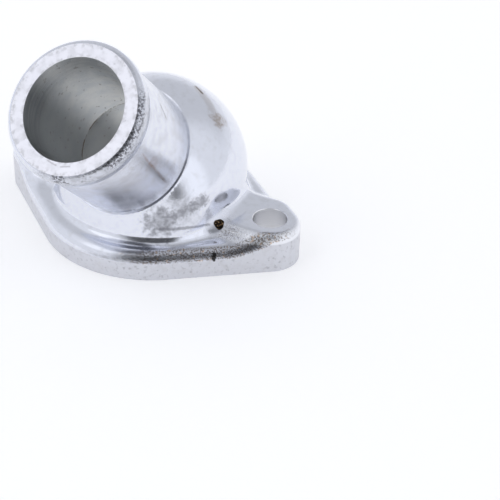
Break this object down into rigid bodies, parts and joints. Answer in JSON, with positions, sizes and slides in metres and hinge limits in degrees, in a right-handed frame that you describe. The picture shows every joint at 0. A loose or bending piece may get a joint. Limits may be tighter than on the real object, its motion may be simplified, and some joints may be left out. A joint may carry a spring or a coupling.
{
  "type": "coolant flange",
  "caption": "Two-bolt cast coolant flange with a domed water chamber and a beaded hose spigot leaning out at 45 degrees.",
  "frame": {"origin": "midway between the two bolt holes, on the gasket face", "axes": "+Z out of the gasket face through the dome, +X along the line of the bolt holes, and the hose spigot leans towards -Y"},
  "size_m": [0.1012, 0.0886, 0.0715],
  "materials": {
    "cast_aluminium": "polished casting with turned and belt-sanded faces"
  },
  "bodies": {
    "root": {"casting": "cast_aluminium"}
  },
  "joints": []
}
